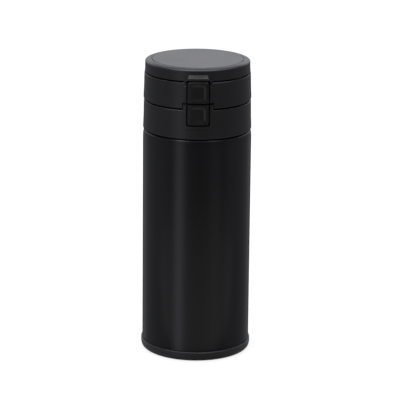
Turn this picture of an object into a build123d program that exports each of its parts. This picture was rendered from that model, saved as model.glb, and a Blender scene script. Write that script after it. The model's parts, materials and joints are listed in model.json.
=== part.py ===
from build123d import *
import os
from math import sqrt

# A vacuum flask with a two-stage push-button cap. Millimetres, +Z up, the latch faces -Y.
# The origin is the centre of the underside. The cap screws off the vessel, the middle section
# tips back on the collar for filling, and the thin lid tips back on the middle section for drinking.

# ---- Outside ----
BODY_RADIUS = 33.0
SHOULDER_TOP = 138.87  # top of the metal body
COLLAR_HEIGHT = 17.72
MIDDLE_HEIGHT = 15.96
LID_HEIGHT = 7.4
BAND_GAP = 0.8  # shadow gap under each band
SHOULDER_HEIGHT = 4.9  # the shoulder rounds in over this height
SHOULDER_INSET = 0.8

# Each band's outline: how far its foot, waist and top stand inside the body's radius.
COLLAR_INSETS = (0.0, 0.34, 0.47)
MIDDLE_INSETS = (0.24, 0.58, 0.75)
LID_INSETS = (0.95, 1.17, 1.22)
BAND_WAIST = 0.45  # height of the waist, as a share of the band
BAND_WAIST_RADIUS = 150.0  # the curve that joins foot to top
LID_WAIST = 1.5  # height of the lid's waist above its foot
BAND_FOOT_ROUND = 0.8
BAND_TOP_ROUND = 0.45
LID_WAIST_RADIUS = 12.0
LID_RIM_WIDTH = 2.1  # the rim falls away over this width, by this drop
LID_RIM_DROP = 0.88
LID_RIM_SHOULDER_ROUND = 7.4
LID_RIM_EDGE_ROUND = 0.9
BAND_INSIDE_INSET = 2.4  # the bands' inner wall, inside the body's radius
LID_INSIDE_INSET = 2.7
LID_SKIN = 1.15
LID_TOP_RADIUS_INSET = 5.4  # the let-in disc, inside the body's radius
LID_TOP_THICKNESS = 0.75
LID_TOP_PROUD = 0.1
LID_TOP_SEAM = 0.35

# ---- Vessel ----
SHELL_WALL = 0.5
VESSEL_WALL = 0.45
VACUUM_GAP = 3.0
NECK_VACUUM_GAP = 0.4
NECK_INSET = 7.0  # room for latch and hinge between the body's radius and the neck
NECK_HEIGHT = 10.1  # neck above the shoulder
NECK_ROOT_ROUND = 1.2
RIM_HEIGHT = 0.5
VESSEL_FLOOR = 7.5
VESSEL_FLOOR_ROUND = 9.0
INNER_SHOULDER_DROP = 15.0  # where the inner bottle starts to narrow, below the body's top
INNER_SHOULDER_HEIGHT = 7.5
INNER_SHOULDER_ROUND = 5.0
FOIL_THICKNESS = 0.12
FOIL_STANDOFF = 0.2
FOIL_MARGIN = 6.0
GETTER_RADIUS = 4.5
GETTER_THICKNESS = 1.1
GETTER_OFFSET = 12.0
PLUG_RADIUS = 2.2
PLUG_THICKNESS = 0.9
DIMPLE_RADIUS = 9.0
DIMPLE_HEIGHT = 1.4
BOTTOM_THICKNESS = 0.6

# ---- Base ----
BUMPER_HEIGHT = 6.05
BUMPER_PROUD = 0.74
BUMPER_TOP_ROUND = 0.55
BUMPER_FOOT_ROUND = 2.4
BUMPER_SEAM = 0.4
BUMPER_JOGGLE = 1.1  # the shell steps in by this much behind the bumper
BUMPER_FLOOR = 1.3
PAD_OUTER_INSET = 6.0
PAD_WIDTH = 7.0
PAD_THICKNESS = 1.0
PAD_PROUD = 0.2

# ---- Screw thread ----
THREAD_PITCH = 4.0
THREAD_DEPTH = 0.8
THREAD_ROOT = 1.7
THREAD_CREST = 0.8
THREAD_LENGTH = 5.0
THREAD_START = 3.2  # first turn of the neck's ridge, above the shoulder
THREAD_CLEARANCE = 0.2
THREAD_SINK = 0.25

# ---- Inside of the cap ----
CORE_WALL = 1.4
DECK_THICKNESS = 1.6
COLLAR_SEAL_THICKNESS = 0.9
COLLAR_SEAL_WIDTH = 2.6
MOUTH_INSET = 10.0  # wide mouth, inside the body's radius
LIP_WALL = 1.6
LIP_HEIGHT = 5.0
LEDGE_WIDTH = 0.9
LEDGE_THICKNESS = 1.0
FLANGE_DROP = 4.55  # middle section's flange, from the band's top to the flange's underside
FLANGE_THICKNESS = 1.6
SKIRT_CLEARANCE = 1.2  # mouthpiece skirt inside the wide mouth
SKIRT_WALL = 1.8
SKIRT_BOTTOM_RISE = 1.4  # skirt's lower end, above the core's deck
MOUTHPIECE_DECK = 1.6
MOUTHPIECE_INSET = 7.2
MOUTH_SEAL_HEIGHT = 2.4
MOUTH_SEAL_DEPTH = 0.8
MOUTH_SEAL_GAP = 0.4
SPOUT_OFFSET = 12.5
SPOUT_RADIUS = 7.8
SPOUT_BORE = 6.0
SPOUT_RISE = 2.85  # spout above the middle section's top
VENT_RADIUS = 1.1
LINER_WALL = 1.3
LINER_PLATE = 1.2
SEAL_HOLDER_WALL = 1.0
SPOUT_SEAL_LIFT = 0.25
SPOUT_SEAL_PLUG = 1.1

# ---- Latches ----
FACE_PROUD = 0.3  # button faces, outside the body's radius
FRAME_PROUD = 0.15
BUTTON_HALF_WIDTH = 6.4
BUTTON_SIDE_GAP = 0.75  # shadow gap round the buttons
FIT_GAP = 0.35  # between other pieces of the cap
BUTTON_THICKNESS = 1.4
BUTTON_ROUND = 1.3
BUTTON_EDGE_ROUND = 0.45
BUTTON_BORDER = 1.1
RECESS_DEPTH = 0.6
RECESS_ROUND = 0.6
RECESS_BEVEL = 1.9  # width of the dish's sloping sides
BUTTON_TRAVEL = 1.0
FRAME_WIDTH = 2.0
RAIL_WIDTH = 1.15
FRAME_CORNER = 3.0
FRAME_EDGE_ROUND = 0.4
TAB_HEIGHT = 3.61  # the collar's tab above its band
TAB_CLEARANCE = 0.45
SPLIT_GAP = 0.85  # between the tab and the rails above it
RAIL_DROP = 2.1  # rails end this far below the middle section's top
LOWER_BUTTON_FOOT = 8.9  # above the collar's foot
FRAME_FOOT = 6.5
UPPER_BUTTON_RISE = 0.5  # above the middle section's top
HOOK_HALF_WIDTH = 4.1
HOOK_THICKNESS = 1.0
HOOK_CLEARANCE = 0.3
TOOTH_DEPTH = 0.6
TOOTH_HEIGHT = 1.2
TOOTH_GAP = 0.3
CATCH_LIP = 0.4
CATCH_HEIGHT = 0.8
BAR_THICKNESS = 1.1
BAR_HEIGHT = 4.2
ARM_WIDTH = 1.2
WING_REACH = 0.8
WING_THICKNESS = 0.8
POCKET_WALL = 0.8
POCKET_DEPTH = 0.5
POCKET_RADIUS = 1.75
SPRING_ROOM = 1.6
BUTTON_COIL_RADIUS = 1.2
BUTTON_WIRE_RADIUS = 0.2
BUTTON_COIL_PITCH = 0.8
CROSSBAR_HEIGHT = 1.5

# ---- Hood over the upper button ----
HOOD_FOOT_HALF_WIDTH = 8.4
HOOD_TOP_HALF_WIDTH = 6.25
HOOD_DROP = 0.4  # its legs reach this far below the lid's foot
HOOD_HEIGHT = 2.55  # legs to top
HOOD_CORNER = 0.9
HOOD_THICKNESS = 1.6
BROW_HALF_WIDTH = 5.7
BROW_HEIGHT = 1.7  # the sloping brow over the hood
BROW_SETBACK = 0.15
HOOD_EDGE_ROUND = 0.45

# ---- Hinges ----
KNUCKLE_RADIUS = 2.1
KNUCKLE_PROUD = 0.4  # the barrels stand this far outside the band's top edge
HINGE_INSET = KNUCKLE_RADIUS - KNUCKLE_PROUD  # axis inside the band's top edge
HINGE_DROP = 2.65  # axis below the band's top
KNUCKLE_WIDTH = 3.4
KNUCKLE_GAP = 0.35
KNUCKLE_INNER = 4.2  # half of the room between the knuckles
ARM_HALF_THICKNESS = 1.4
EAR_WIDTH = 3.4
EAR_WALL = 1.0
NOTCH_CLEARANCE = 0.5
PIN_RADIUS = 0.9
PIN_CLEARANCE = 0.05
PIN_END_CLEARANCE = 0.6
TORSION_COIL_RADIUS = 1.5
TORSION_WIRE_RADIUS = 0.28
TORSION_COIL_PITCH = 0.95
TORSION_LEG = 2.2
TORSION_PART_TURN = 0.75  # a quarter turn short of whole, so that the two legs stand square

# ---- Worked-out places ----
COLLAR_FOOT = SHOULDER_TOP + BAND_GAP
COLLAR_TOP = COLLAR_FOOT + COLLAR_HEIGHT
MIDDLE_FOOT = COLLAR_TOP + BAND_GAP
MIDDLE_TOP = MIDDLE_FOOT + MIDDLE_HEIGHT
LID_FOOT = MIDDLE_TOP + BAND_GAP
LID_TOP = LID_FOOT + LID_HEIGHT
SHELL_FOOT = PAD_PROUD + BUMPER_FLOOR

NECK_RADIUS = BODY_RADIUS - NECK_INSET
NECK_TOP = SHOULDER_TOP + NECK_HEIGHT
NECK_INSIDE = NECK_RADIUS - SHELL_WALL - NECK_VACUUM_GAP
RIM_TOP = NECK_TOP + RIM_HEIGHT
VESSEL_RADIUS = BODY_RADIUS - SHELL_WALL - VACUUM_GAP

BAND_INSIDE = BODY_RADIUS - BAND_INSIDE_INSET
LID_INSIDE = BODY_RADIUS - LID_INSIDE_INSET
MOUTH_RADIUS = BODY_RADIUS - MOUTH_INSET
DECK_BOTTOM = RIM_TOP + COLLAR_SEAL_THICKNESS
DECK_TOP = DECK_BOTTOM + DECK_THICKNESS
CORE_INSIDE = NECK_RADIUS + THREAD_DEPTH + THREAD_CLEARANCE
CORE_OUTSIDE = CORE_INSIDE + CORE_WALL
FLANGE_BOTTOM = MIDDLE_TOP - FLANGE_DROP
FLANGE_TOP = FLANGE_BOTTOM + FLANGE_THICKNESS
SKIRT_RADIUS = MOUTH_RADIUS - SKIRT_CLEARANCE
SKIRT_BOTTOM = DECK_TOP + SKIRT_BOTTOM_RISE
SPOUT_TOP = MIDDLE_TOP + SPOUT_RISE
LINER_TOP = LID_TOP - LID_SKIN - LID_TOP_THICKNESS

FACE_RADIUS = BODY_RADIUS + FACE_PROUD
FRAME_RADIUS = BODY_RADIUS + FRAME_PROUD
WINDOW_HALF_WIDTH = BUTTON_HALF_WIDTH + BUTTON_SIDE_GAP
FRAME_HALF_WIDTH = WINDOW_HALF_WIDTH + FRAME_WIDTH
RAIL_HALF_WIDTH = WINDOW_HALF_WIDTH + RAIL_WIDTH
PLATE_INSIDE = FACE_RADIUS - BUTTON_THICKNESS
TAB_TOP = COLLAR_TOP + TAB_HEIGHT
RAIL_FOOT = TAB_TOP + SPLIT_GAP
LOWER_BUTTON = (COLLAR_FOOT + LOWER_BUTTON_FOOT, TAB_TOP)
UPPER_BUTTON = (RAIL_FOOT, MIDDLE_TOP + UPPER_BUTTON_RISE)

# The latch's layers, as distances in front of the axis, from the button's plate inwards.
HOOK_FRONT = sqrt(PLATE_INSIDE**2 - BUTTON_HALF_WIDTH**2) - BUTTON_TRAVEL - HOOK_CLEARANCE
HOOK_BACK = HOOK_FRONT - HOOK_THICKNESS
TOOTH_TIP = HOOK_BACK - TOOTH_DEPTH
BAR_FRONT = TOOTH_TIP - TOOTH_GAP - CATCH_LIP
BAR_BACK = BAR_FRONT - BAR_THICKNESS
POCKET_FRONT = BAR_BACK - SPRING_ROOM
POCKET_BACK = POCKET_FRONT - POCKET_WALL
LOWER_BAR = (DECK_TOP + HOOK_CLEARANCE, DECK_TOP + HOOK_CLEARANCE + BAR_HEIGHT)
UPPER_BAR = (FLANGE_BOTTOM - HOOK_CLEARANCE - BAR_HEIGHT, FLANGE_BOTTOM - HOOK_CLEARANCE)
CROSSBAR_TOP = RAIL_FOOT + CROSSBAR_HEIGHT
REACH = 2 * BODY_RADIUS  # long enough to cut past the outside


# ---- Ways of making a solid ----


def turned(*points):
    """A solid of revolution from corners given as (radius, height) or (radius, height, rounding)."""
    corners = [point[:2] for point in points]
    rounds = [point[2] if len(point) > 2 else 0 for point in points]
    outline = FilletPolyline(corners, radius=rounds, close=True)
    return revolve(make_face(Plane.XZ * outline), Axis.Z)


def tube(inside, outside, bottom, top):
    """A plain ring."""
    return turned((inside, bottom), (outside, bottom), (outside, top), (inside, top))


def block(x, y, z):
    """A box between two limits on each axis."""
    size = [limits[1] - limits[0] for limits in (x, y, z)]
    centre = [(limits[0] + limits[1]) / 2 for limits in (x, y, z)]
    return Pos(*centre) * Box(*size)


def even(half_width):
    """The two limits of something centred on the flask's middle plane."""
    return (-half_width, half_width)


def front_outline(*points):
    """A flat shape seen from the front, from corners as (x, height) or (x, height, rounding)."""
    corners = [point[:2] for point in points]
    rounds = [point[2] if len(point) > 2 else 0 for point in points]
    return make_face(Plane.XZ * FilletPolyline(corners, radius=rounds, close=True))


def toward_front(outline):
    return extrude(outline, amount=REACH, dir=(0, -1, 0))


def front_shell(outline, inside, outside):
    """The part of a round wall that lies behind a front outline."""
    wall = tube(inside, outside, 0, LID_TOP + BAND_GAP)
    return toward_front(outline) & wall


def band(foot, height, insets, inside, top_round=BAND_TOP_ROUND):
    """A band's wall: flared at its foot, slightly waisted, with rounded edges."""
    flare, waist, top = (BODY_RADIUS - inset for inset in insets)
    return turned(
        (inside, foot),
        (flare, foot, BAND_FOOT_ROUND),
        (waist, foot + BAND_WAIST * height, BAND_WAIST_RADIUS),
        (top, foot + height, top_round),
        (inside, foot + height),
    )


def coil(radius, wire_radius, pitch, length):
    """A helical spring along +Z from the origin."""
    path = Helix(pitch, length, radius)
    section = Plane(origin=path @ 0, z_dir=path % 0) * Circle(wire_radius)
    return sweep(section, path=path, is_frenet=True)


def thread_ridge(radius, depth, start, turn_start):
    """A helical ridge that stands out of a wall of this radius by depth, inwards if it is negative."""
    sink = -THREAD_SINK if depth > 0 else THREAD_SINK
    path = Helix(THREAD_PITCH, THREAD_LENGTH, radius)
    section = Plane(origin=path @ 0, x_dir=(1, 0, 0), z_dir=path % 0) * Polygon(
        (sink, -THREAD_ROOT / 2),
        (depth, -THREAD_CREST / 2),
        (depth, THREAD_CREST / 2),
        (sink, THREAD_ROOT / 2),
        align=None,
    )
    return Pos(0, 0, start) * Rot(0, 0, turn_start) * sweep(section, path=path, is_frenet=True)


# ---- Vessel ----


def outer_shell():
    joggle_top = BUMPER_HEIGHT + BUMPER_SEAM
    straight_top = SHOULDER_TOP - SHOULDER_HEIGHT
    neck_inside = NECK_RADIUS - SHELL_WALL
    joggle = BODY_RADIUS - BUMPER_JOGGLE

    def side(inset):
        """The wall's outline with its shoulder as a quarter of an ellipse, moved inwards by inset."""
        top = SHOULDER_TOP - inset
        edge = BODY_RADIUS - SHOULDER_INSET - inset
        foot = SHELL_FOOT
        path = Polyline(
            (0, foot),
            (joggle - inset, foot),
            (joggle - inset, BUMPER_HEIGHT + inset),
            (BODY_RADIUS - inset, joggle_top + inset),
            (BODY_RADIUS - inset, straight_top),
        )
        shoulder = EllipticalCenterArc(
            (edge, straight_top), SHOULDER_INSET, top - straight_top, start_angle=0, arc_size=90
        )
        close = Polyline((edge, top), (0, top), (0, foot))
        return revolve(make_face(Plane.XZ * (path + shoulder + close)), Axis.Z)

    wall = side(0) - side(SHELL_WALL)
    neck = turned(
        (neck_inside, SHOULDER_TOP - SHELL_WALL),
        (NECK_RADIUS + NECK_ROOT_ROUND, SHOULDER_TOP - SHELL_WALL),
        (NECK_RADIUS + NECK_ROOT_ROUND, SHOULDER_TOP),
        (NECK_RADIUS, SHOULDER_TOP, NECK_ROOT_ROUND / 2),
        (NECK_RADIUS, NECK_TOP),
        (neck_inside, NECK_TOP),
    )
    bore = Pos(0, 0, SHOULDER_TOP) * Cylinder(neck_inside, NECK_HEIGHT)
    floor = Pos(0, 0, SHELL_FOOT) * Cylinder(joggle - SHELL_WALL, 2 * SHELL_WALL)
    ridge = thread_ridge(NECK_RADIUS, THREAD_DEPTH, SHOULDER_TOP + THREAD_START, 0)
    return wall - bore - floor + neck + ridge


def inner_vessel():
    straight_top = SHOULDER_TOP - INNER_SHOULDER_DROP
    neck_foot = straight_top + INNER_SHOULDER_HEIGHT
    neck_outside = NECK_INSIDE
    inside = VESSEL_RADIUS - VESSEL_WALL
    neck_inside = neck_outside - VESSEL_WALL
    return turned(
        (0, VESSEL_FLOOR),
        (VESSEL_RADIUS, VESSEL_FLOOR, VESSEL_FLOOR_ROUND),
        (VESSEL_RADIUS, straight_top, INNER_SHOULDER_ROUND),
        (neck_outside, neck_foot, INNER_SHOULDER_ROUND),
        (neck_outside, NECK_TOP),
        (NECK_RADIUS, NECK_TOP),
        (NECK_RADIUS, RIM_TOP, RIM_HEIGHT / 2),
        (neck_inside, RIM_TOP, RIM_HEIGHT / 2),
        (neck_inside, neck_foot, INNER_SHOULDER_ROUND + VESSEL_WALL),
        (inside, straight_top, INNER_SHOULDER_ROUND - VESSEL_WALL),
        (inside, VESSEL_FLOOR + VESSEL_WALL, VESSEL_FLOOR_ROUND - VESSEL_WALL),
        (0, VESSEL_FLOOR + VESSEL_WALL),
    )


def shell_bottom():
    radius = BODY_RADIUS - BUMPER_JOGGLE - SHELL_WALL
    foot = SHELL_FOOT + SHELL_WALL
    plate = turned(
        (0, foot + DIMPLE_HEIGHT),
        (DIMPLE_RADIUS, foot + DIMPLE_HEIGHT, BOTTOM_THICKNESS),
        (DIMPLE_RADIUS + DIMPLE_HEIGHT, foot, BOTTOM_THICKNESS),
        (radius, foot),
        (radius, foot + BOTTOM_THICKNESS),
        (DIMPLE_RADIUS + DIMPLE_HEIGHT, foot + BOTTOM_THICKNESS, BOTTOM_THICKNESS),
        (DIMPLE_RADIUS, foot + DIMPLE_HEIGHT + BOTTOM_THICKNESS, BOTTOM_THICKNESS),
        (0, foot + DIMPLE_HEIGHT + BOTTOM_THICKNESS),
    )
    return plate - Pos(0, 0, foot + DIMPLE_HEIGHT) * Cylinder(PLUG_RADIUS / 2, DIMPLE_HEIGHT * 2)


def vacuum_plug():
    top = SHELL_FOOT + SHELL_WALL + DIMPLE_HEIGHT
    return Pos(0, 0, top - PLUG_THICKNESS / 2) * Cylinder(PLUG_RADIUS, PLUG_THICKNESS)


def radiation_foil():
    inside = VESSEL_RADIUS + FOIL_STANDOFF
    bottom = VESSEL_FLOOR + VESSEL_FLOOR_ROUND
    top = SHOULDER_TOP - INNER_SHOULDER_DROP - FOIL_MARGIN
    return tube(inside, inside + FOIL_THICKNESS, bottom, top)


def getter():
    height = VESSEL_FLOOR - GETTER_THICKNESS / 2
    return Pos(GETTER_OFFSET, 0, height) * Cylinder(GETTER_RADIUS, GETTER_THICKNESS)


def base_cap():
    joggle = BODY_RADIUS - BUMPER_JOGGLE
    outside = BODY_RADIUS + BUMPER_PROUD
    pad_outside = BODY_RADIUS - PAD_OUTER_INSET
    cup = turned(
        (0, PAD_PROUD),
        (outside - BUMPER_PROUD, PAD_PROUD, BUMPER_FOOT_ROUND),
        (outside, BUMPER_HEIGHT / 2, BUMPER_HEIGHT / 2),
        (outside, BUMPER_HEIGHT, BUMPER_TOP_ROUND),
        (joggle, BUMPER_HEIGHT),
        (joggle, SHELL_FOOT),
        (0, SHELL_FOOT),
    )
    groove = tube(pad_outside - PAD_WIDTH, pad_outside, 0, PAD_THICKNESS)
    return cup - groove


def base_pad():
    outside = BODY_RADIUS - PAD_OUTER_INSET
    return tube(outside - PAD_WIDTH, outside, 0, PAD_THICKNESS)


# ---- Hinges, one behind each band's top ----


class Hinge:
    """A pin joint behind a band's top edge, with its axis along X."""

    def __init__(self, band_top, insets):
        self.y = BODY_RADIUS - insets[2] - HINGE_INSET
        self.z = band_top - HINGE_DROP
        self.band_top = band_top
        self.knuckle_outer = KNUCKLE_INNER + KNUCKLE_WIDTH
        self.notch_half = self.knuckle_outer + KNUCKLE_GAP
        self.ear_half = self.notch_half + EAR_WIDTH
        self.notch_front = self.y - KNUCKLE_RADIUS - NOTCH_CLEARANCE
        self.notch_bottom = self.z - KNUCKLE_RADIUS - NOTCH_CLEARANCE
        self.ear_front = self.notch_front - EAR_WALL

    def rod(self, radius, half_length):
        return Pos(0, self.y, self.z) * Rot(0, 90, 0) * Cylinder(radius, 2 * half_length)

    def seat(self, bottom):
        """The lump that the ears are cut from: solid behind the wall, and a barrel round the pin."""
        lump = block(even(self.ear_half), (self.ear_front, REACH), (bottom, self.band_top))
        lump = lump & tube(0, BAND_INSIDE + KNUCKLE_GAP, bottom, self.band_top)
        barrel_back = (self.ear_front, self.y + KNUCKLE_RADIUS)
        barrel_bottom = max(self.notch_bottom, bottom)
        barrel_foot = block(even(self.ear_half), barrel_back, (barrel_bottom, self.z))
        return lump + barrel_foot + self.rod(KNUCKLE_RADIUS, self.ear_half)

    def notch(self):
        """Room for the knuckles, open at the back and the top, and the pin's hole in both ears."""
        height = (self.notch_bottom, self.band_top + BAND_GAP)
        room = block(even(self.notch_half), (self.notch_front, REACH), height)
        return room + self.rod(PIN_RADIUS, self.ear_half - PIN_END_CLEARANCE)

    def knuckles(self, top):
        """The two knuckles of the piece above, with the arms that hang them from its wall."""
        half = self.knuckle_outer
        round_part = self.rod(KNUCKLE_RADIUS, half)
        arm_back = min(self.y + ARM_HALF_THICKNESS, BODY_RADIUS - HINGE_INSET)
        arm = block(even(half), (self.y - ARM_HALF_THICKNESS, arm_back), (self.z, top))
        gap = block(even(KNUCKLE_INNER), (0, REACH), (0, self.band_top + BAND_GAP))
        return round_part + arm - gap - self.rod(PIN_RADIUS + PIN_CLEARANCE, self.ear_half)

    def pin(self):
        return self.rod(PIN_RADIUS, self.ear_half - PIN_END_CLEARANCE)

    def spring(self):
        """A torsion spring round the pin, one leg forwards on the seat and one up to the piece above."""
        length = 2 * (KNUCKLE_INNER - KNUCKLE_GAP - TORSION_WIRE_RADIUS)
        turns = int(length / TORSION_COIL_PITCH) - TORSION_PART_TURN
        coil_length = TORSION_COIL_PITCH * turns
        path = Helix(TORSION_COIL_PITCH, coil_length, TORSION_COIL_RADIUS)
        wire = sweep(
            Plane(origin=path @ 0, z_dir=path % 0) * Circle(TORSION_WIRE_RADIUS),
            path=path,
            is_frenet=True,
        )
        ends = [(path @ 0, path % 0 * -1), (path @ 1, path % 1)]
        for place, direction in ends:
            section = Plane(origin=place, z_dir=direction) * Circle(TORSION_WIRE_RADIUS)
            wire = wire + extrude(section, TORSION_LEG)
        return Pos(-coil_length / 2, self.y, self.z) * Rot(0, 90, 0) * wire


LOWER_HINGE = Hinge(COLLAR_TOP, COLLAR_INSETS)
UPPER_HINGE = Hinge(MIDDLE_TOP, MIDDLE_INSETS)


# ---- Buttons and their springs ----


def button(limits, bar, wings):
    """A push button: curved plate with a bordered recess, wings that hold it in, arms and catch bar."""
    bottom, top = limits
    half = BUTTON_HALF_WIDTH
    lower_round, upper_round = (BUTTON_ROUND, 0) if limits == LOWER_BUTTON else (0, BUTTON_ROUND)
    outline = front_outline(
        (-half, bottom, lower_round),
        (half, bottom, lower_round),
        (half, top, upper_round),
        (-half, top, upper_round),
    )
    plate = front_shell(outline, PLATE_INSIDE, FACE_RADIUS)
    outer_edges = plate.faces().sort_by(Axis.Y)[0].edges().sort_by(Axis.Z)
    if limits == LOWER_BUTTON:
        outer_edges = outer_edges[:-1]
    plate = fillet(outer_edges, BUTTON_EDGE_ROUND)

    levels = []
    for inset, distance in (
        (BUTTON_BORDER + RECESS_BEVEL, FACE_RADIUS - RECESS_DEPTH),
        (BUTTON_BORDER, FACE_RADIUS),
    ):
        side = half - inset
        corner = RECESS_ROUND + (RECESS_BEVEL + BUTTON_BORDER - inset) / 2
        level = front_outline(
            (-side, bottom + inset, corner),
            (side, bottom + inset, corner),
            (side, top - inset, corner),
            (-side, top - inset, corner),
        )
        levels.append(Pos(0, -distance, 0) * level)
    plate = plate - loft(levels, ruled=True)

    wing_back = BAND_INSIDE - FIT_GAP
    wing_half = WINDOW_HALF_WIDTH + WING_REACH
    arm_outer = HOOK_HALF_WIDTH + HOOK_CLEARANCE + ARM_WIDTH
    wing_shape = front_outline(
        (-wing_half, wings[0]), (wing_half, wings[0]), (wing_half, wings[1]), (-wing_half, wings[1])
    )
    gap_between_arms = block(even(HOOK_HALF_WIDTH + HOOK_CLEARANCE), (-REACH, 0), (0, LID_TOP))
    wing = front_shell(wing_shape, wing_back - WING_THICKNESS, wing_back) - gap_between_arms
    neck_shape = front_outline(
        (-half, wings[0]), (half, wings[0]), (half, wings[1]), (-half, wings[1])
    )
    neck = front_shell(neck_shape, wing_back - WING_THICKNESS, PLATE_INSIDE) - gap_between_arms
    arms = block(even(arm_outer), (-PLATE_INSIDE + BUTTON_THICKNESS, -BAR_BACK), bar) - gap_between_arms

    bar_block = block(even(arm_outer), (-BAR_FRONT, -BAR_BACK), bar)
    lip = block(
        even(HOOK_HALF_WIDTH), (-BAR_FRONT - CATCH_LIP, -BAR_FRONT), (bar[1] - CATCH_HEIGHT, bar[1])
    )
    middle = (bar[0] + bar[1]) / 2
    pocket_place = Pos(0, -BAR_BACK - POCKET_DEPTH / 2, middle)
    pocket = pocket_place * Rot(90, 0, 0) * Cylinder(POCKET_RADIUS, POCKET_DEPTH)
    return plate + neck + wing + arms + bar_block + lip - pocket


def button_spring(bar):
    """A short compression spring from the catch bar's pocket to the wall behind it."""
    slack = 2 * BUTTON_WIRE_RADIUS
    start = -BAR_BACK - POCKET_DEPTH + slack
    end = -POCKET_FRONT + POCKET_DEPTH - slack
    wire = coil(BUTTON_COIL_RADIUS, BUTTON_WIRE_RADIUS, BUTTON_COIL_PITCH, end - start)
    return Pos(0, end, (bar[0] + bar[1]) / 2) * Rot(90, 0, 0) * wire


def spring_wall(bottom, top):
    """The wall behind a catch bar, which the spring pushes against."""
    return block(even(HOOK_HALF_WIDTH + ARM_WIDTH), (-POCKET_FRONT, -POCKET_BACK), (bottom, top))


def spring_hole(bar):
    """The blind hole that holds the spring's inner end."""
    middle = (bar[0] + bar[1]) / 2
    place = Pos(0, -POCKET_FRONT + POCKET_DEPTH / 2, middle)
    return place * Rot(90, 0, 0) * Cylinder(POCKET_RADIUS, POCKET_DEPTH)


def catch_hook(top, bar):
    """A hook that hangs behind a button, with its tooth under the catch bar's lip."""
    tooth_top = bar[1] - CATCH_HEIGHT - TOOTH_GAP
    foot = tooth_top - TOOTH_HEIGHT
    shank = block(even(HOOK_HALF_WIDTH), (-HOOK_FRONT, -HOOK_BACK), (foot, top))
    tooth = block(even(HOOK_HALF_WIDTH), (-HOOK_BACK, -TOOTH_TIP), (foot, tooth_top))
    return shank + tooth


# ---- Collar ----


def collar():
    half = FRAME_HALF_WIDTH
    wall = band(COLLAR_FOOT, COLLAR_HEIGHT, COLLAR_INSETS, BAND_INSIDE)
    ledge = tube(BAND_INSIDE - LEDGE_WIDTH, BAND_INSIDE, DECK_BOTTOM - LEDGE_THICKNESS, DECK_BOTTOM)
    frame_outline = front_outline(
        (-half, COLLAR_FOOT + FRAME_FOOT, FRAME_CORNER),
        (half, COLLAR_FOOT + FRAME_FOOT, FRAME_CORNER),
        (half, TAB_TOP),
        (-half, TAB_TOP),
    )
    frame = front_shell(frame_outline, BAND_INSIDE, FRAME_RADIUS)
    frame = fillet(frame.faces().sort_by(Axis.Y)[0].edges().sort_by(Axis.Z)[:-1], FRAME_EDGE_ROUND)
    window = front_outline(
        (-WINDOW_HALF_WIDTH, LOWER_BUTTON[0] - BUTTON_SIDE_GAP, BUTTON_ROUND),
        (WINDOW_HALF_WIDTH, LOWER_BUTTON[0] - BUTTON_SIDE_GAP, BUTTON_ROUND),
        (WINDOW_HALF_WIDTH, TAB_TOP + SPLIT_GAP),
        (-WINDOW_HALF_WIDTH, TAB_TOP + SPLIT_GAP),
    )
    opening = toward_front(window)
    seat = LOWER_HINGE.seat(DECK_TOP)
    return wall + ledge + frame + seat - opening - LOWER_HINGE.notch()


def collar_core():
    skirt_foot = COLLAR_FOOT + FIT_GAP
    skirt = tube(CORE_INSIDE, CORE_OUTSIDE, skirt_foot, DECK_TOP)
    deck = tube(MOUTH_RADIUS, BAND_INSIDE, DECK_BOTTOM, DECK_TOP)
    lip = turned(
        (MOUTH_RADIUS, DECK_BOTTOM),
        (MOUTH_RADIUS + LIP_WALL, DECK_BOTTOM),
        (MOUTH_RADIUS + LIP_WALL, DECK_TOP + LIP_HEIGHT, LIP_WALL / 2 - THREAD_CLEARANCE),
        (MOUTH_RADIUS, DECK_TOP + LIP_HEIGHT, LIP_WALL / 2 - THREAD_CLEARANCE),
    )
    front_notch = block(
        even(WINDOW_HALF_WIDTH + WING_REACH + TAB_CLEARANCE),
        (-REACH, -HOOK_FRONT),
        (DECK_BOTTOM, DECK_TOP),
    )
    ridge = thread_ridge(CORE_INSIDE, -THREAD_DEPTH, SHOULDER_TOP + THREAD_START, 180)
    wall = spring_wall(DECK_TOP, LOWER_BAR[1])
    lip_middle = MOUTH_RADIUS + LIP_WALL / 2
    bridge = block(
        even(HOOK_HALF_WIDTH + ARM_WIDTH),
        (-POCKET_BACK, -lip_middle),
        (DECK_TOP, LOWER_BAR[1]),
    )
    bridge = bridge - tube(0, lip_middle, 0, LID_TOP)
    return skirt + deck - front_notch + lip + wall + bridge - spring_hole(LOWER_BAR) + ridge


def collar_seal():
    outside = NECK_RADIUS + THREAD_DEPTH
    return tube(outside - COLLAR_SEAL_WIDTH, outside, RIM_TOP, DECK_BOTTOM)


# ---- Middle section ----


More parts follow.
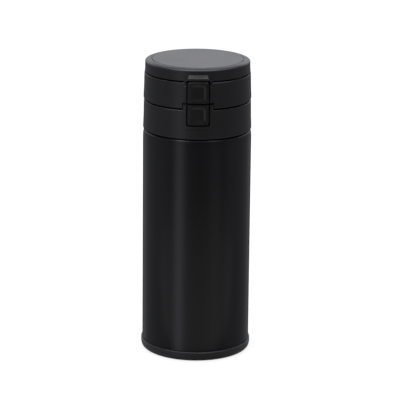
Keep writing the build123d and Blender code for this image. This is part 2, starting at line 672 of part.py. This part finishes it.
def middle_section():
    wall = band(MIDDLE_FOOT, MIDDLE_HEIGHT, MIDDLE_INSETS, BAND_INSIDE)
    flange = tube(SKIRT_RADIUS + FIT_GAP, BAND_INSIDE, FLANGE_BOTTOM, FLANGE_TOP)
    rail_top = MIDDLE_TOP - RAIL_DROP
    rail_outline = front_outline(
        (-RAIL_HALF_WIDTH, RAIL_FOOT),
        (RAIL_HALF_WIDTH, RAIL_FOOT),
        (RAIL_HALF_WIDTH, rail_top, RECESS_ROUND),
        (-RAIL_HALF_WIDTH, rail_top, RECESS_ROUND),
    )
    rails = front_shell(rail_outline, BAND_INSIDE, FRAME_RADIUS)
    rails = fillet(rails.faces().sort_by(Axis.Y)[0].edges(), FRAME_EDGE_ROUND)
    window = block(even(WINDOW_HALF_WIDTH), (-REACH, -BAR_FRONT), (MIDDLE_FOOT, LID_TOP))
    tab_room = block(
        even(FRAME_HALF_WIDTH + TAB_CLEARANCE),
        (-REACH, -BAR_FRONT),
        (MIDDLE_FOOT - BAND_GAP, RAIL_FOOT),
    )
    hook_slot = block(
        even(WINDOW_HALF_WIDTH + WING_REACH), (-REACH, -BAR_BACK), (FLANGE_BOTTOM, FLANGE_TOP)
    )
    crossbar = block(even(FRAME_HALF_WIDTH), (-HOOK_FRONT, -HOOK_BACK), (RAIL_FOOT, CROSSBAR_TOP))
    crossbar = crossbar & tube(0, BAND_INSIDE + KNUCKLE_GAP, 0, LID_TOP)
    hook = catch_hook(CROSSBAR_TOP, LOWER_BAR)
    pocket_wall = spring_wall(UPPER_BAR[0], FLANGE_BOTTOM) - spring_hole(UPPER_BAR)
    seat = UPPER_HINGE.seat(UPPER_HINGE.notch_bottom - EAR_WALL)
    body = wall + rails - window - tab_room + (flange - hook_slot)
    body = body + crossbar + hook + pocket_wall + seat
    return body - UPPER_HINGE.notch() + LOWER_HINGE.knuckles(MIDDLE_FOOT + BAND_FOOT_ROUND)


def mouthpiece():
    deck_bottom, deck_top = FLANGE_TOP, FLANGE_TOP + MOUTHPIECE_DECK
    seal_bottom = SKIRT_BOTTOM + MOUTH_SEAL_GAP
    deck = turned(
        (0, deck_bottom),
        (BODY_RADIUS - MOUTHPIECE_INSET, deck_bottom),
        (BODY_RADIUS - MOUTHPIECE_INSET, deck_top, MOUTHPIECE_DECK / 3),
        (0, deck_top),
    )
    skirt = tube(SKIRT_RADIUS - SKIRT_WALL, SKIRT_RADIUS, SKIRT_BOTTOM, deck_bottom)
    groove = tube(
        SKIRT_RADIUS - MOUTH_SEAL_DEPTH, SKIRT_RADIUS, seal_bottom, seal_bottom + MOUTH_SEAL_HEIGHT
    )
    spout = Pos(0, -SPOUT_OFFSET, 0) * turned(
        (SPOUT_BORE, deck_bottom),
        (SPOUT_RADIUS, deck_bottom),
        (SPOUT_RADIUS, SPOUT_TOP, (SPOUT_RADIUS - SPOUT_BORE) / 2 - THREAD_CLEARANCE),
        (SPOUT_BORE, SPOUT_TOP, (SPOUT_RADIUS - SPOUT_BORE) / 2 - THREAD_CLEARANCE),
    )
    bore = Pos(0, -SPOUT_OFFSET, 0) * tube(0, SPOUT_BORE, deck_bottom, deck_top)
    vent = Pos(0, SPOUT_OFFSET, 0) * tube(0, VENT_RADIUS, deck_bottom, deck_top)
    return deck + skirt - groove - bore - vent + spout


def mouth_seal():
    """A packing ring with two lips, in the groove of the mouthpiece's skirt."""
    root = SKIRT_RADIUS - MOUTH_SEAL_DEPTH
    lip = MOUTH_RADIUS - MOUTH_SEAL_GAP
    bottom = SKIRT_BOTTOM + MOUTH_SEAL_GAP
    top = bottom + MOUTH_SEAL_HEIGHT
    waist = (bottom + top) / 2
    lip_height = MOUTH_SEAL_HEIGHT / 4
    return turned(
        (root, bottom),
        (lip, bottom + lip_height, lip_height / 2),
        (SKIRT_RADIUS, waist),
        (lip, top - lip_height, lip_height / 2),
        (root, top),
    )


# ---- Lid ----


def lid_disc_radius():
    return BODY_RADIUS - LID_TOP_RADIUS_INSET


def lid_shell():
    flare, waist, top = (BODY_RADIUS - inset for inset in LID_INSETS)
    rim_top = LID_TOP - LID_TOP_PROUD
    wall = turned(
        (LID_INSIDE, LID_FOOT),
        (flare, LID_FOOT, BAND_TOP_ROUND),
        (waist, LID_FOOT + LID_WAIST, LID_WAIST_RADIUS),
        (top, rim_top - LID_RIM_DROP, LID_RIM_EDGE_ROUND),
        (top - LID_RIM_WIDTH, rim_top, LID_RIM_SHOULDER_ROUND),
        (0, rim_top),
        (0, LINER_TOP),
        (LID_INSIDE, LINER_TOP),
    )
    seat_depth = LID_TOP_THICKNESS - LID_TOP_PROUD
    seat = tube(0, lid_disc_radius() + LID_TOP_SEAM, rim_top - seat_depth, rim_top + LID_TOP_PROUD)

    foot = LID_FOOT - HOOD_DROP
    hood_outline = front_outline(
        (-HOOD_FOOT_HALF_WIDTH, foot),
        (-HOOD_FOOT_HALF_WIDTH, foot + HOOD_DROP, HOOD_CORNER),
        (-HOOD_TOP_HALF_WIDTH, foot + HOOD_HEIGHT, HOOD_CORNER),
        (HOOD_TOP_HALF_WIDTH, foot + HOOD_HEIGHT, HOOD_CORNER),
        (HOOD_FOOT_HALF_WIDTH, foot + HOOD_DROP, HOOD_CORNER),
        (HOOD_FOOT_HALF_WIDTH, foot),
    )
    hood = front_shell(hood_outline, LID_INSIDE, FACE_RADIUS)
    hood = fillet(hood.faces().sort_by(Axis.Y)[0].edges().sort_by(Axis.Z)[1:], HOOD_EDGE_ROUND)
    hood_top = foot + HOOD_HEIGHT
    brow_top = hood_top + BROW_HEIGHT
    brow_outline = front_outline(
        (-HOOD_TOP_HALF_WIDTH, foot + HOOD_DROP),
        (HOOD_TOP_HALF_WIDTH, foot + HOOD_DROP),
        (BROW_HALF_WIDTH, brow_top),
        (-BROW_HALF_WIDTH, brow_top),
    )
    brow_ring = turned(
        (LID_INSIDE, foot),
        (FACE_RADIUS - BROW_SETBACK, foot),
        (FACE_RADIUS - BROW_SETBACK, hood_top - HOOD_EDGE_ROUND),
        (waist, brow_top),
        (LID_INSIDE, brow_top),
    )
    brow = toward_front(brow_outline) & brow_ring
    arch_top = hood_top - HOOD_THICKNESS
    button_room = front_outline(
        (-WINDOW_HALF_WIDTH, foot),
        (WINDOW_HALF_WIDTH, foot),
        (WINDOW_HALF_WIDTH, arch_top, BUTTON_ROUND / 2),
        (-WINDOW_HALF_WIDTH, arch_top, BUTTON_ROUND / 2),
    )
    arch = toward_front(button_room)
    knuckles = UPPER_HINGE.knuckles(LID_FOOT + BAND_TOP_ROUND)
    return wall - seat + hood + brow - arch + knuckles


def lid_top():
    foot = LID_TOP - LID_TOP_THICKNESS
    radius = lid_disc_radius()
    return turned((0, foot), (radius, foot), (radius, LID_TOP, LID_TOP_PROUD), (0, LID_TOP))


def lid_liner():
    outside = LID_INSIDE - FIT_GAP / 2
    plate_bottom = LINER_TOP - LINER_PLATE
    holder_bottom = SPOUT_TOP + SPOUT_SEAL_LIFT
    skirt = tube(outside - LINER_WALL, outside, LID_FOOT + BAND_TOP_ROUND * 2, LINER_TOP)
    plate = tube(0, outside, plate_bottom, LINER_TOP)
    holder = Pos(0, -SPOUT_OFFSET, 0) * tube(
        SPOUT_RADIUS, SPOUT_RADIUS + SEAL_HOLDER_WALL, holder_bottom, plate_bottom
    )
    room = block(even(HOOK_HALF_WIDTH + HOOK_CLEARANCE), (-REACH, -HOOK_BACK), (0, plate_bottom))
    hook = catch_hook(LINER_TOP, UPPER_BAR)
    return skirt - room + plate + holder + hook


def spout_seal():
    bottom = SPOUT_TOP + SPOUT_SEAL_LIFT
    top = LINER_TOP - LINER_PLATE
    plug_radius = SPOUT_BORE - 2 * SPOUT_SEAL_LIFT
    return Pos(0, -SPOUT_OFFSET, 0) * turned(
        (0, bottom - SPOUT_SEAL_PLUG),
        (plug_radius, bottom - SPOUT_SEAL_PLUG, SPOUT_SEAL_LIFT),
        (plug_radius, bottom),
        (SPOUT_RADIUS, bottom, SPOUT_SEAL_LIFT),
        (SPOUT_RADIUS, top),
        (0, top),
    )


LOWER_WINGS = LOWER_BAR
UPPER_WINGS = (CROSSBAR_TOP + HOOK_CLEARANCE, UPPER_BAR[1])

PARTS = {
    "outer_shell": outer_shell,
    "inner_vessel": inner_vessel,
    "shell_bottom": shell_bottom,
    "vacuum_plug": vacuum_plug,
    "radiation_foil": radiation_foil,
    "getter": getter,
    "base_cap": base_cap,
    "base_pad": base_pad,
    "collar": collar,
    "collar_core": collar_core,
    "collar_seal": collar_seal,
    "lower_button": lambda: button(LOWER_BUTTON, LOWER_BAR, LOWER_WINGS),
    "lower_button_spring": lambda: button_spring(LOWER_BAR),
    "lower_hinge_pin": LOWER_HINGE.pin,
    "lower_hinge_spring": LOWER_HINGE.spring,
    "middle_section": middle_section,
    "mouthpiece": mouthpiece,
    "mouth_seal": mouth_seal,
    "upper_button": lambda: button(UPPER_BUTTON, UPPER_BAR, UPPER_WINGS),
    "upper_button_spring": lambda: button_spring(UPPER_BAR),
    "upper_hinge_pin": UPPER_HINGE.pin,
    "upper_hinge_spring": UPPER_HINGE.spring,
    "lid_shell": lid_shell,
    "lid_top": lid_top,
    "lid_liner": lid_liner,
    "spout_seal": spout_seal,
}

os.makedirs("parts", exist_ok=True)
for name, make in PARTS.items():
    export_step(make(), f"parts/{name}.step")
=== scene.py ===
"""The looks of a black vacuum flask with a two-stage push-button cap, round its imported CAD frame."""

import json
import math

import bpy
from mathutils import Matrix, Vector


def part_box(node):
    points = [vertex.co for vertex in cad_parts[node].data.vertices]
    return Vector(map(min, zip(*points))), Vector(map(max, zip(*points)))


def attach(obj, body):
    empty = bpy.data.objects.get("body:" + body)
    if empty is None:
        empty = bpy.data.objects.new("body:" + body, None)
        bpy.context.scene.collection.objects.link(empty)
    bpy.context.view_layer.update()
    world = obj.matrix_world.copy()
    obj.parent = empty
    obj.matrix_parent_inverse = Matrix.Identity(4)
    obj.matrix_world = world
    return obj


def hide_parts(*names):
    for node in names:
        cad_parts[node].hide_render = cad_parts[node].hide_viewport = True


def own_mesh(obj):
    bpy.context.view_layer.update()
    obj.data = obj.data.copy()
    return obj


MM = 0.001
BEVEL_SAMPLES = 4
EDGE_TURN = (0.01, 0.12)  # how far the surface turns where an edge starts to count, and counts fully

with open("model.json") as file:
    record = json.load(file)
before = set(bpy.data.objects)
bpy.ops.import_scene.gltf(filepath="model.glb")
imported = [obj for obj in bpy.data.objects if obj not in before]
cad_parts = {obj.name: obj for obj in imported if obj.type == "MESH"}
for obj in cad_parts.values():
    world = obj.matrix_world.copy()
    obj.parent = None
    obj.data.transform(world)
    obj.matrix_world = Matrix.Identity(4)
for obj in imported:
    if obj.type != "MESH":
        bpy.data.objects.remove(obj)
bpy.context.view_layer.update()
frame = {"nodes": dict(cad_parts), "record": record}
nodes = frame["nodes"]


# ---- Shader maths ----


class Wire:
    """A value on its way from one node to another. Arithmetic on it adds Math nodes."""

    def __init__(self, tree, socket):
        self.tree = tree
        self.socket = socket

    def math(self, operation, first, second=0.0):
        return self.tree.node("ShaderNodeMath", {"operation": operation}, {0: first, 1: second})

    def __add__(self, other):
        return self.math("ADD", self, other)

    def __radd__(self, other):
        return self.math("ADD", other, self)

    def __sub__(self, other):
        return self.math("SUBTRACT", self, other)

    def __rsub__(self, other):
        return self.math("SUBTRACT", other, self)

    def __mul__(self, other):
        return self.math("MULTIPLY", self, other)

    def __rmul__(self, other):
        return self.math("MULTIPLY", other, self)

    def __pow__(self, power):
        return self.math("POWER", self, power)

    def __neg__(self):
        return self.math("MULTIPLY", self, -1.0)

    def size(self):
        return self.math("ABSOLUTE", self)


class Tree:
    """A node tree, and the one way in which nodes are added to it."""

    def __init__(self, node_tree):
        self.node_tree = node_tree

    def node(self, kind, settings=None, inputs=None, output=0):
        made = self.node_tree.nodes.new(kind)
        for name, value in (settings or {}).items():
            setattr(made, name, value)
        for key, value in (inputs or {}).items():
            self.join(value, made.inputs[key])
        return Wire(self, made.outputs[output])

    def join(self, value, socket):
        """Links a wire to a socket, or sets a plain value on it."""
        if isinstance(value, Wire):
            self.node_tree.links.new(value.socket, socket)
        else:
            socket.default_value = value

    def split(self, vector):
        """The three parts of a vector."""
        parts = self.node("ShaderNodeSeparateXYZ", None, {0: vector})
        return [Wire(self, socket) for socket in parts.socket.node.outputs]

    def vector(self, x, y, z):
        return self.node("ShaderNodeCombineXYZ", None, {0: x, 1: y, 2: z})

    def step(self, value, low, high, start=0.0, end=1.0):
        """A soft step from start to end as value goes from low to high."""
        return self.node(
            "ShaderNodeMapRange",
            {"interpolation_type": "SMOOTHSTEP", "clamp": True},
            {"Value": value, "From Min": low, "From Max": high, "To Min": start, "To Max": end},
        )

    def scale(self, value, start, end):
        """A value from 0 to 1 spread evenly from start to end."""
        return value * (end - start) + start

    def blend(self, factor, first, second):
        """A colour between two colours."""
        ends = {"Factor": factor, "A": first, "B": second}
        return self.node("ShaderNodeMix", {"data_type": "RGBA"}, ends, "Result")


class Finish(Tree):
    """A material, with the textures that its finish needs in the object's own metres."""

    def __init__(self, name, **plain):
        self.material = bpy.data.materials.new(name)
        self.material.use_nodes = True
        super().__init__(self.material.node_tree)
        self.shader = self.node_tree.nodes["Principled BSDF"]
        for socket, value in plain.items():
            self.shader.inputs[socket.replace("_", " ")].default_value = value
        self.place = self.node("ShaderNodeTexCoord", None, None, "Object")

    def around(self, per_turn, per_metre):
        """Cylindrical coordinates about the flask's axis: turns, distance from the axis, height."""
        x, y, z = self.split(self.place)
        angle = x.math("ARCTAN2", y, x)
        radius = (x * x + y * y) ** 0.5
        return self.vector(angle * per_turn, radius * per_metre, z * per_metre)

    def noise(self, size, detail=2.0, coarseness=0.5, place=None):
        """Cloudy noise whose features are about this many metres across."""
        inputs = {"Vector": place or self.place, "Scale": 1 / size}
        inputs.update({"Detail": detail, "Roughness": coarseness})
        return self.node("ShaderNodeTexNoise", None, inputs)

    def cells(self, size, feature="F1"):
        """Rounded cells about this many metres across."""
        inputs = {"Vector": self.place, "Scale": 1 / size}
        return self.node("ShaderNodeTexVoronoi", {"feature": feature}, inputs, "Distance")

    def bump(self, height, depth, strength=1.0, normal=None):
        """A bump whose full height is depth metres."""
        inputs = {"Height": height, "Distance": depth, "Strength": strength}
        if normal:
            inputs["Normal"] = normal
        return self.node("ShaderNodeBump", None, inputs)

    def edges(self, width):
        """1 along the sharp edges and 0 on flat and round faces."""
        soft = self.node("ShaderNodeBevel", {"samples": BEVEL_SAMPLES}, {"Radius": width})
        flat = self.node("ShaderNodeNewGeometry", None, None, "Normal")
        dot = {"operation": "DOT_PRODUCT"}
        alike = self.node("ShaderNodeVectorMath", dot, {0: soft, 1: flat}, "Value")
        return self.step(1 - alike, *EDGE_TURN)

    def show(self, colour=None, roughness=None, normal=None):
        """Joins what varies over the surface to the shader."""
        for value, socket in ((colour, "Base Color"), (roughness, "Roughness"), (normal, "Normal")):
            if value is not None:
                self.join(value, self.shader.inputs[socket])
        return self.material


def grey(value, blue=1.0):
    """A grey, with its blue raised by a factor for a cool cast."""
    return (value, value, value * blue, 1.0)


# ---- Finishes ----


def powder_coat():
    """Matt black powder coat: a low orange peel under a fine, slightly sparkling grain."""
    coat = Finish("powder_coat", IOR=1.5, Specular_IOR_Level=0.42)
    peel = coat.noise(1.6 * MM, detail=2)
    grain = coat.noise(0.28 * MM, detail=3, coarseness=0.6)
    handled = coat.noise(38 * MM, detail=4, coarseness=0.55)
    colour = coat.blend(handled, grey(0.0030, 1.15), grey(0.0044, 1.12))
    roughness = coat.scale(handled, 0.27, 0.32) + coat.scale(grain, -0.03, 0.03)
    waves = coat.bump(peel, depth=0.02 * MM, strength=0.35)
    normal = coat.bump(grain, depth=0.012 * MM, strength=0.5, normal=waves)
    return coat.show(colour, roughness, normal)


def spark_plastic(name, low, high, rough, grain_size, edge_highlight):
    """Black moulded plastic with the fine pits of a spark-eroded mould, smoother at its edges, where a
    painted highlight lightens the colour.
    """
    plastic = Finish(name, IOR=1.5, Specular_IOR_Level=0.5)
    pits = plastic.cells(grain_size, "SMOOTH_F1")
    flow = plastic.noise(24 * MM, detail=3)
    edge = plastic.edges(0.35 * MM)
    base = plastic.blend(flow, grey(low, 1.06), grey(high, 1.06))
    # Painted highlight: the colour is lightened along the sharp edges, by the edge mask times this
    # strength.
    colour = plastic.blend(edge * edge_highlight, base, grey(high * 3, 1.04))
    pitted = plastic.scale(flow, rough, rough + 0.05) + plastic.scale(pits, -0.04, 0.04)
    normal = plastic.bump(pits, depth=0.01 * MM, strength=0.5)
    return plastic.show(colour, pitted - edge * 0.08, normal)


def soft_touch_rubber():
    """Dull black rubber with a faint sheen, scuffed where the flask is put down."""
    rubber = Finish(
        "soft_touch_rubber",
        IOR=1.48,
        Specular_IOR_Level=0.45,
        Sheen_Weight=0.06,
        Sheen_Roughness=0.5,
    )
    grain = rubber.noise(0.35 * MM, detail=4, coarseness=0.65)
    scuffs = rubber.noise(9 * MM, detail=5, coarseness=0.7)
    colour = rubber.blend(scuffs, grey(0.0070, 1.03), grey(0.0108, 1.03))
    roughness = rubber.scale(scuffs, 0.40, 0.52)
    return rubber.show(colour, roughness, rubber.bump(grain, depth=0.02 * MM, strength=0.5))


def turned_steel(rough=0.24, line_size=0.16 * MM):
    """Stainless steel with the fine lines left by spinning it, under an electropolish."""
    steel = Finish("turned_steel", Metallic=1.0)
    spun = steel.around(per_turn=0.6, per_metre=1 / line_size)
    lines = steel.noise(1.0, detail=3, coarseness=0.7, place=spun)
    cloud = steel.noise(11 * MM, detail=3)
    colour = steel.blend(cloud, (0.60, 0.585, 0.56, 1), (0.68, 0.67, 0.65, 1))
    roughness = steel.scale(lines, rough - 0.06, rough + 0.06) + steel.scale(cloud, -0.03, 0.03)
    return steel.show(colour, roughness, steel.bump(lines, depth=0.004 * MM, strength=0.6))


def copper_foil():
    """Bright copper foil, crinkled by hand as it was wrapped."""
    foil = Finish("copper_foil", Metallic=1.0)
    creases = foil.cells(4.5 * MM)
    fine = foil.noise(1.2 * MM, detail=4, coarseness=0.6)
    tarnish = foil.noise(14 * MM, detail=4, coarseness=0.6)
    colour = foil.blend(tarnish, (0.74, 0.41, 0.25, 1), (0.60, 0.30, 0.17, 1))
    crinkled = foil.bump(creases, depth=0.25 * MM, strength=0.6)
    normal = foil.bump(fine, depth=0.03 * MM, strength=0.4, normal=crinkled)
    return foil.show(colour, foil.scale(tarnish, 0.16, 0.30), normal)


def sintered_metal():
    """The dull, granular pressed powder of the getter."""
    grains = Finish("sintered_getter", Metallic=0.85)
    lumps = grains.cells(0.22 * MM)
    patches = grains.noise(2 * MM, detail=3)
    colour = grains.blend(patches, grey(0.14), grey(0.24, 1.02))
    normal = grains.bump(lumps, depth=0.06 * MM, strength=0.9)
    return grains.show(colour, grains.scale(lumps, 0.5, 0.75), normal)


def drawn_wire():
    """Spring steel wire, marked by the die that drew it."""
    wire = Finish("drawn_spring_wire", Metallic=1.0)
    die_marks = wire.noise(0.12 * MM, detail=3, coarseness=0.6)
    colour = wire.blend(die_marks, grey(0.46, 1.02), grey(0.60, 1.02))
    normal = wire.bump(die_marks, depth=0.006 * MM, strength=0.5)
    return wire.show(colour, wire.scale(die_marks, 0.22, 0.40), normal)


def satin_food_plastic():
    """The darker, smoother plastic of the parts that the drink touches."""
    plastic = Finish("satin_food_plastic", IOR=1.49, Specular_IOR_Level=0.5)
    flow = plastic.noise(15 * MM, detail=3)
    grain = plastic.noise(0.4 * MM, detail=2)
    colour = plastic.blend(flow, grey(0.020, 1.04), grey(0.026, 1.04))
    normal = plastic.bump(grain, depth=0.006 * MM, strength=0.4)
    return plastic.show(colour, plastic.scale(flow, 0.30, 0.38), normal)


def clear_silicone():
    """Milky grey silicone, a little dusty."""
    silicone = Finish(
        "milky_silicone",
        IOR=1.41,
        Subsurface_Weight=0.35,
        Subsurface_Scale=0.8 * MM,
        Specular_IOR_Level=0.5,
    )
    milk = silicone.noise(3 * MM, detail=3)
    dust = silicone.noise(0.3 * MM, detail=4, coarseness=0.7)
    colour = silicone.blend(milk, (0.36, 0.37, 0.38, 1), (0.46, 0.47, 0.48, 1))
    normal = silicone.bump(dust, depth=0.01 * MM, strength=0.3)
    return silicone.show(colour, silicone.scale(dust, 0.36, 0.52), normal)


# The finish of each material slot in the record.
FINISHES = {
    "body_paint": powder_coat(),
    "steel": turned_steel(),
    "copper_foil": copper_foil(),
    "getter_metal": sintered_metal(),
    "cap_plastic": spark_plastic(
        "spark_black_cap", low=0.0048, high=0.0070, rough=0.39, grain_size=0.22 * MM, edge_highlight=0.35
    ),
    "lid_plastic": spark_plastic(
        "spark_black_lid", low=0.0058, high=0.0078, rough=0.38, grain_size=0.20 * MM, edge_highlight=0.35
    ),
    "button_plastic": spark_plastic(
        "satin_black_button", low=0.0044, high=0.0062, rough=0.33, grain_size=0.16 * MM, edge_highlight=0.5
    ),
    "inner_plastic": satin_food_plastic(),
    "base_rubber": soft_touch_rubber(),
    "silicone": clear_silicone(),
    "spring_steel": drawn_wire(),
}


def dress(piece, slot):
    """Gives a piece the finish of one of the record's material slots."""
    piece.data.materials.clear()
    piece.data.materials.append(FINISHES[slot])


slots = {subpart["node"]: subpart["material_slot"] for subpart in frame["record"]["subparts"]}
for node, slot in slots.items():
    dress(nodes[node], slot)


# ---- Return springs ----

COIL_WIRE_RADIUS = 0.2 * MM
COIL_PITCH = 0.8 * MM
CLOSED_ENDS = 0.6  # how much closer the end turns lie
STEPS_PER_TURN = 28
WIRE_SIDES = 10


def tube_along(name, centres, outward, radius):
    """A closed tube round a line, with its section spanned by the outward directions and the Y axis."""
    corners = []
    for centre, out in zip(centres, outward):
        for side in range(WIRE_SIDES):
            angle = math.tau * side / WIRE_SIDES
            rise = Vector((0, math.sin(angle), 0))
            corners.append(centre + radius * (math.cos(angle) * out + rise))
    faces = []
    for ring in range(len(centres) - 1):
        start = ring * WIRE_SIDES
        for side in range(WIRE_SIDES):
            near = start + side
            beside = start + (side + 1) % WIRE_SIDES
            faces.append((near, beside, beside + WIRE_SIDES, near + WIRE_SIDES))
    last = len(corners) - WIRE_SIDES
    faces.append(tuple(reversed(range(WIRE_SIDES))))
    faces.append(tuple(range(last, last + WIRE_SIDES)))
    mesh = bpy.data.meshes.new(name)
    mesh.from_pydata(corners, [], faces)
    mesh.shade_smooth()
    piece = bpy.data.objects.new(name, mesh)
    bpy.context.scene.collection.objects.link(piece)
    return piece


def return_spring(name, node, body):
    """A coil along Y with closed ends, in the place of a CAD spring."""
    low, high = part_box(node)
    across = (low[0] + high[0]) / 2
    height = (low[2] + high[2]) / 2
    radius = (high[0] - low[0]) / 2 - COIL_WIRE_RADIUS
    front = low[1] + COIL_WIRE_RADIUS
    length = high[1] - COIL_WIRE_RADIUS - front
    turns = length / COIL_PITCH
    steps = round(turns * STEPS_PER_TURN)
    centres = []
    outward = []
    for step in range(steps + 1):
        along = step / steps
        eased = along - CLOSED_ENDS * math.sin(math.tau * along) / math.tau
        angle = math.tau * turns * along
        out = Vector((math.cos(angle), 0, math.sin(angle)))
        outward.append(out)
        centres.append(Vector((across, front + eased * length, height)) + radius * out)
    coil = tube_along(name, centres, outward, COIL_WIRE_RADIUS)
    dress(coil, slots[node])
    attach(coil, body)
    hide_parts(node)
    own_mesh(coil)


return_spring("lower_return_coil", "lower_button_spring", "cap")
return_spring("upper_return_coil", "upper_button_spring", "middle_section")


# ---- Studio ----

FLOOR_REACH = 3.0
TABLE_EMISSION = 0.80
CLOUD_SIZE = 0.4

FILL = 0.035  # light from every side
DAYLIGHT = (0.975, 0.985, 1.06, 1.0)
CEILING_EDGE = (34, 60, 0.0, 0.6)  # from elevation, to elevation, from strength, to strength
CEILING_MIDDLE = (52, 72, 0.0, 2.6)
WALL_FOOT = (4, 16, 0.0, 2.3)
WALL_TOP = (20, 28, 1.0, 0.0)
BEHIND = (0.1, 0.85)  # how far back a direction points where the wall starts, and is at its full
# Azimuth from the front, half width, lowest and highest elevation in degrees, and strength.
SOFT_BOXES = (
    (-38, 7, -60, 60, 0.80),
    (-42, 10, 28, 66, 7.0),
    (40, 10, -60, 50, 0.10),
    (38, 10, 28, 66, 3.0),
    (-110, 45, -60, 50, 0.16),
    (110, 45, -60, 50, 0.145),
    (150, 8, -50, 50, 0.12),
    (-150, 8, -50, 50, 0.12),
)
SIDE_FADE = (-4, 6)  # degrees inside and outside a soft box's half width
END_FADE = 15  # degrees at a soft box's top and foot


def floor():
    """A white light table, a little cloudy, which gloss doesn't mirror."""
    mesh = bpy.data.meshes.new("studio_floor")
    near, far = -FLOOR_REACH, FLOOR_REACH
    corners = [(near, near, 0), (far, near, 0), (far, far, 0), (near, far, 0)]
    mesh.from_pydata(corners, [], [(0, 1, 2, 3)])
    piece = bpy.data.objects.new("studio_floor", mesh)
    bpy.context.scene.collection.objects.link(piece)
    paper = Finish("white_light_table", Specular_IOR_Level=0.0, Emission_Strength=TABLE_EMISSION)
    paper.shader.inputs["Emission Color"].default_value = grey(1.0)
    cloud = paper.noise(CLOUD_SIZE, detail=2)
    mesh.materials.append(paper.show(paper.blend(cloud, grey(0.20), grey(0.21)), 0.9))
    piece.visible_glossy = False


def studio_world():
    """Light from all round: a bright ceiling, a low bright wall behind, and tall soft boxes."""
    world = bpy.data.worlds.new("studio")
    world.use_nodes = True
    bpy.context.scene.world = world
    sky = Tree(world.node_tree)
    direction = sky.node("ShaderNodeTexCoord", None, None, "Generated")
    x, y, z = sky.split(direction)
    around = x.math("ARCTAN2", x, -y) * math.degrees(1)
    up = x.math("ARCSINE", z) * math.degrees(1)

    ceiling = sky.step(up, *CEILING_EDGE) + sky.step(up, *CEILING_MIDDLE)
    back_wall = sky.step(up, *WALL_FOOT) * sky.step(up, *WALL_TOP) * sky.step(y, *BEHIND)
    light = FILL + ceiling + back_wall
    inner, outer = SIDE_FADE
    for centre, half_width, low, high, strength in SOFT_BOXES:
        off = (around - centre).size()
        across = sky.step(off, half_width + inner, half_width + outer, 1.0, 0.0)
        along = sky.step(up, low, low + END_FADE) * sky.step(up, high - END_FADE, high, 1.0, 0.0)
        light = light + across * along * strength
    seen = sky.node("ShaderNodeLightPath", None, None, "Is Camera Ray")
    background = world.node_tree.nodes["Background"]
    tint = sky.blend(seen, DAYLIGHT, grey(1.0))
    sky.join(tint, background.inputs["Color"])
    sky.join(light * (1 - seen) + seen, background.inputs["Strength"])


def area_light(name, place, size, energy, turn=0.0):
    """A rectangular light that faces down, or another way when it is turned about X."""
    lamp = bpy.data.lights.new(name, "AREA")
    lamp.shape = "RECTANGLE"
    lamp.size, lamp.size_y = size
    lamp.energy = energy
    piece = bpy.data.objects.new(name, lamp)
    piece.location = place
    piece.rotation_euler = (turn, 0, 0)
    bpy.context.scene.collection.objects.link(piece)
    return piece


floor()
studio_world()
# A large soft light above keeps the floor white.
area_light("overhead_softbox", place=(0, 0.35, 2.2), size=(2.4, 2.4), energy=14)
# The white table in front of the flask leaves its glow in the lower part of the gloss.
glow = area_light("table_glow", place=(0, -0.175, 0.002), size=(0.5, 0.26), energy=0.1, turn=math.pi)
glow.visible_camera = False


# ---- Camera ----

CAMERA_BACK = 1.332385  # metres from the flask's axis
CAMERA_HEIGHT = 0.467096
CAMERA_SWING = 0.0148  # radians round the flask, to its left
CAMERA_YAW = 0.01642  # radians, like the pitch and the roll
CAMERA_PITCH = 0.27341
CAMERA_ROLL = 0.00995
LENS_MM = 202.725
SENSOR_MM = 36
NEAREST = 0.05
FARTHEST = 20


def camera():
    """The product camera, to the flask's left by its swing and looking down by its pitch."""
    data = bpy.data.cameras.new("product_camera")
    data.lens = LENS_MM
    data.sensor_width = SENSOR_MM
    data.clip_start = NEAREST
    data.clip_end = FARTHEST
    piece = bpy.data.objects.new("product_camera", data)
    bpy.context.scene.collection.objects.link(piece)
    beside = -CAMERA_BACK * math.sin(CAMERA_SWING)
    before = -CAMERA_BACK * math.cos(CAMERA_SWING)
    place = Matrix.Translation((beside, before, CAMERA_HEIGHT))
    turn = Matrix.Rotation(-CAMERA_YAW, 4, "Z")
    tilt = Matrix.Rotation(math.pi / 2 - CAMERA_PITCH, 4, "X")
    piece.matrix_world = place @ turn @ tilt @ Matrix.Rotation(CAMERA_ROLL, 4, "Z")
    bpy.context.scene.camera = piece


camera()
bpy.context.scene.view_settings.view_transform = "Standard"
